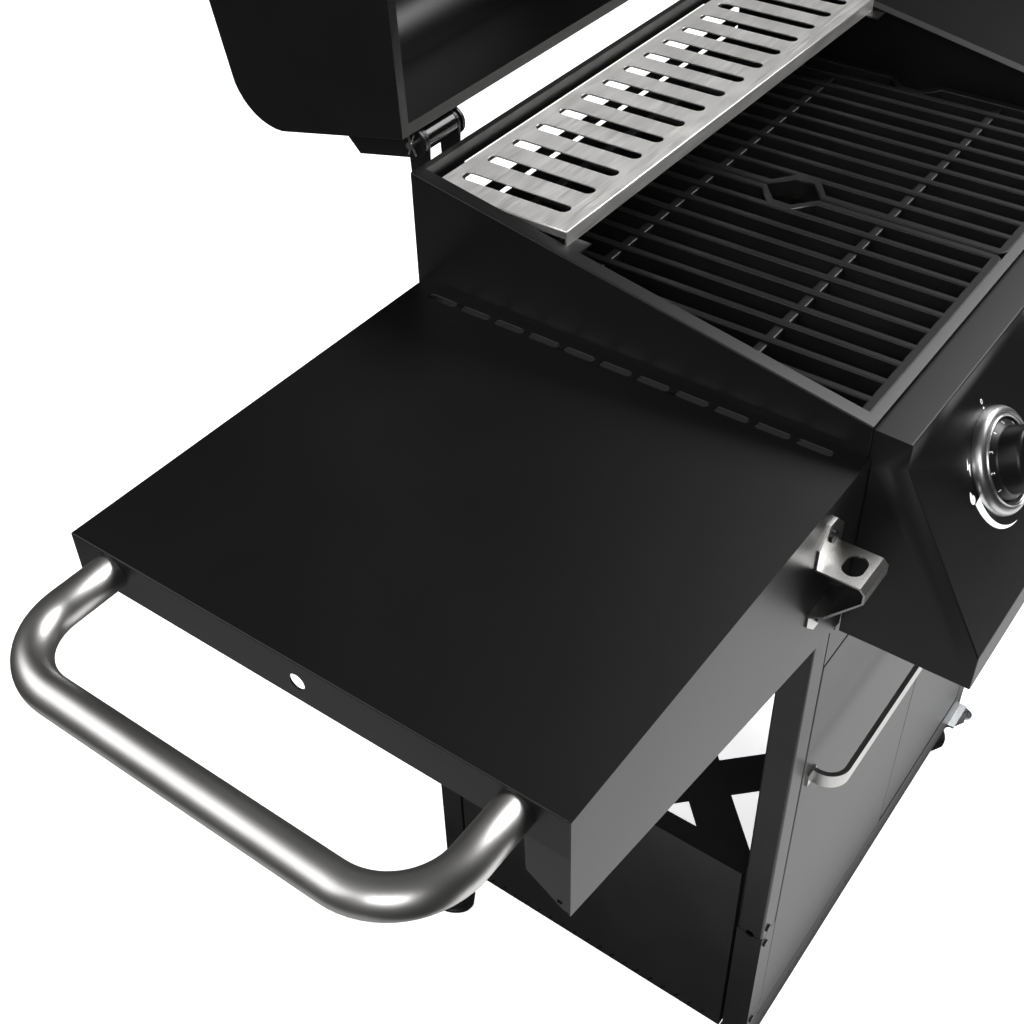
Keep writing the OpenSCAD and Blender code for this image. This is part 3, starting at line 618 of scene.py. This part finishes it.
def make_grip(side):
    bpy.ops.object.select_all(action="DESELECT")
    bpy.ops.mesh.primitive_cube_add(size=1.0, location=(0, 0, 0))
    grip = bpy.context.object
    edit(grip)
    bpy.ops.transform.resize(value=tuple(size * MM for size in GRIP_MM))
    bpy.ops.transform.translate(value=(0, 0, GRIP_MIDDLE * MM))
    # every edge but the four at the foot, which are sunk in the cap
    select_edges(grip, lambda e: any(v.co.z > GRIP_MIDDLE * MM for v in e.verts))
    bevel(1.6, 4)
    smooth(grip, 40.0)
    grip.matrix_world = face_frame(side)
    settle(grip)
    return grip


def make_knob(side):
    skirt = [(0.0, 5.2), (29.2, 5.2), (29.5, 5.5), (29.4, 6.9), (25.6, 10.4)]
    body = lathe(skirt + KNOB_WALL + [(0.0, 28.0)], face_frame(side))
    return joined([body, make_grip(side)])


bezels = [make_bezel(side) for side in SIDES]
hand_over(joined(bezels), "knob_bezels_spun", "knob_bezels", chrome, replaced=True)
for side in SIDES:
    hand_over(make_knob(side), "knob_" + side + "_spun", "knob_" + side, nylon, replaced=True)
print("turned", len(bezels), "bezels and", len(SIDES), "knobs")

# %% [markdown]
# ## Printed marks
# The marks are screen-printed in white ink: a nought and a dot where the gas is shut, a spark where it is lit,
# a flame, and a wedge that narrows as the flame gets lower. The skirt of the knob carries a scale from 1 to 10.
# Each mark is a flat outline filled with a tenth of a millimetre of ink and turned into a mesh before it is put
# in its place.

# %% Printed marks
INK = 0.04 * MM
CLEAR = 0.08 * MM
GRIP_TOP = 33.95 * MM
WEDGE_STEPS = 24
SPARK = [(-37.7, 25.3), (-42.2, 18.2), (-39.8, 18.2), (-40.8, 12.7), (-36.4, 20.4), (-38.8, 20.4)]
FLAME = [(-48.0, 4.6), (-50.2, 1.6), (-51.2, -1.2), (-50.6, -3.8), (-48.6, -5.4), (-46.4, -5.2), (-44.8, -3.4),
         (-44.6, -1.0), (-45.6, 0.9), (-46.2, -0.6), (-46.9, 2.0)]
POINTER = [(-0.5, 8.0), (0.5, 8.0), (0.5, 20.5), (-0.5, 20.5)]


def inked(curve, place):
    """Turns a filled curve into a thin mesh and puts it in its place."""
    curve.extrude = INK
    mark = bpy.data.objects.new("ink", curve)
    bpy.context.scene.collection.objects.link(mark)
    pick(mark)
    bpy.ops.object.convert(target="MESH")
    mark.matrix_world = place
    settle(mark)
    return mark


def outline(points_mm, place):
    curve = bpy.data.curves.new("ink", "CURVE")
    curve.dimensions = "2D"
    curve.fill_mode = "BOTH"
    spline = curve.splines.new("POLY")
    spline.points.add(len(points_mm) - 1)
    for point, (x, y) in zip(spline.points, points_mm):
        point.co = (x * MM, y * MM, 0.0, 1.0)
    spline.use_cyclic_u = True
    return inked(curve, place)


def letter(text, size_mm, place):
    curve = bpy.data.curves.new("ink", "FONT")
    curve.body = text
    curve.size = size_mm * MM
    curve.align_x = curve.align_y = "CENTER"
    return inked(curve, place)


def polar(radius, degrees):
    return radius * math.cos(math.radians(degrees)), radius * math.sin(math.radians(degrees))


def wedge():
    """A band round the bezel that narrows from its start to its point."""
    parts = [i / WEDGE_STEPS for i in range(WEDGE_STEPS + 1)]
    outer = [polar(47.2 + 1.6 * part, 188 + 80 * part) for part in parts]
    inner = [polar(38.9 + 9.9 * part, 188 + 80 * part) for part in parts][:-1]
    return outer + inner[::-1]


def panel_marks(side):
    place = face_frame(side) @ Matrix.Translation((0, 0, CLEAR))
    dot = [(4 + x, 41 + y) for x, y in (polar(0.9, a) for a in range(0, 360, 30))]
    marks = [outline(points, place) for points in (wedge(), dot, SPARK, FLAME)]
    marks.append(letter("0", 5.6, place @ Matrix.Translation((4 * MM, 46 * MM, 0))))
    return hand_over(joined(marks), "panel_marks_" + side, "control_panel", white_ink_with_painted_glow)


def dial_marks(side):
    # the skirt falls 3.5 mm over 3.8 mm, and the figures lean with it
    lean = Matrix.Rotation(-math.atan2(3.5, 3.8), 4, "X")
    spot = Matrix.Translation((0, 27.5 * MM, 8.74 * MM))
    marks = []
    for number in range(1, 11):
        turn = Matrix.Rotation(math.radians(140 - 31 * number), 4, "Z")
        marks.append(letter(str(number), 3.6, face_frame(side) @ turn @ spot @ lean))
    marks.append(outline(POINTER, face_frame(side) @ Matrix.Translation((0, 0, GRIP_TOP))))
    return hand_over(joined(marks), "dial_marks_" + side, "knob_" + side, white_ink_with_painted_glow)


for side in SIDES:
    panel_marks(side)
    dial_marks(side)
print("printed the marks")

# %% [markdown]
# ## Floor and light
# Black paint and steel show what they mirror, so a studio keeps most of the room dark and places a few soft
# white surfaces. The floor is a pale sheet that sweeps up at its far edge. It lights the grill, but it is kept
# out of mirror rays, as a studio does with black cards, so that upright faces stay black. A low card in front
# gives the doors and the front fascia their grey, a smaller one on the left lifts the sides, a long softbox
# behind draws the highlight on the push handle, and one on the right makes the brushed rack shine.

# %% Floor, room and lamps
FLOOR_RADIUS = 7.0
SWEEP = ((0.15, 1.05), (0.45, 1.05), (0.9, 1.04), (1.5, 1.02), (5.0, 1.0))
ROOM = [(0.0, "#303030"), (0.45, "#2a2a2a"), (0.6, "#202020"), (0.8, "#262626"), (1.0, "#505050")]
# name: place, aim, size (all in metres) and power in watts
LAMPS = {
    "back_softbox": ((-2.0, 1.35, 2.5), (-0.9, 0.0, 0.83), (3.4, 1.6), 34.0),
    "key_softbox": ((-2.6, -1.2, 2.8), (-0.3, 0.0, 0.8), (1.3, 1.3), 30.0),
    "right_softbox": ((1.9, -0.8, 2.9), (-0.1, 0.1, 0.95), (1.6, 1.6), 72.0),
    "front_card": ((0.45, -0.85, 0.03), (0.45, -0.85, 2.0), (2.2, 1.25), 10.0),
    "left_card": ((-1.0, 0.35, 0.03), (-1.0, 0.35, 2.0), (1.0, 1.3), 1.6),
}


def make_floor():
    bpy.ops.object.select_all(action="DESELECT")
    bpy.ops.mesh.primitive_circle_add(vertices=96, radius=FLOOR_RADIUS, fill_type="NGON",
                                      location=(0.0, 0.0, 0.0))
    floor = bpy.context.object
    edit(floor, "EDGE")
    select_edges(floor, lambda e: e.is_boundary)
    for rise, widen in SWEEP:
        bpy.ops.mesh.extrude_edges_move(TRANSFORM_OT_translate={"value": (0, 0, rise)})
        bpy.ops.transform.resize(value=(widen, widen, 1.0))
    smooth(floor, 60.0)
    floor.name = "studio_sweep"
    material, tree, shader = new_material("matt_white_studio_sheet")
    cloud = noise(tree, object_place(tree), 900.0)
    tree.links.new(ramp(tree, cloud, [(0.3, "#ededed"), (0.7, "#f1f1f1")]), shader.inputs["Base Color"])
    shader.inputs["Roughness"].default_value = 0.9
    shader.inputs["Emission Color"].default_value = (1.0, 1.0, 1.0, 1.0)
    shader.inputs["Emission Strength"].default_value = 0.62
    dress(floor, material)
    floor.visible_glossy = False
    return floor


def make_room():
    world = bpy.data.worlds.new("studio_room")
    world.use_nodes = True
    tree = world.node_tree
    place = add(tree, "TexCoord").outputs["Generated"]
    height = add(tree, "SeparateXYZ", {"Vector": place}).outputs["Z"]
    level = span(tree, height, 0.0, 1.0, source=(-1.0, 1.0))
    tree.links.new(ramp(tree, level, ROOM), tree.nodes["Background"].inputs["Color"])
    bpy.context.scene.world = world


def make_lamp(name, place, aim, size, power):
    data = bpy.data.lights.new(name, "AREA")
    data.shape = "RECTANGLE"
    data.size, data.size_y = size
    data.energy = power
    lamp = bpy.data.objects.new(name, data)
    lamp.location = place
    lamp.rotation_euler = (Vector(aim) - Vector(place)).to_track_quat("-Z", "Y").to_euler()
    lamp.visible_camera = False
    bpy.context.scene.collection.objects.link(lamp)


make_floor()
make_room()
for name, settings in LAMPS.items():
    make_lamp(name, *settings)
print("lit by", len(LAMPS), "lamps")
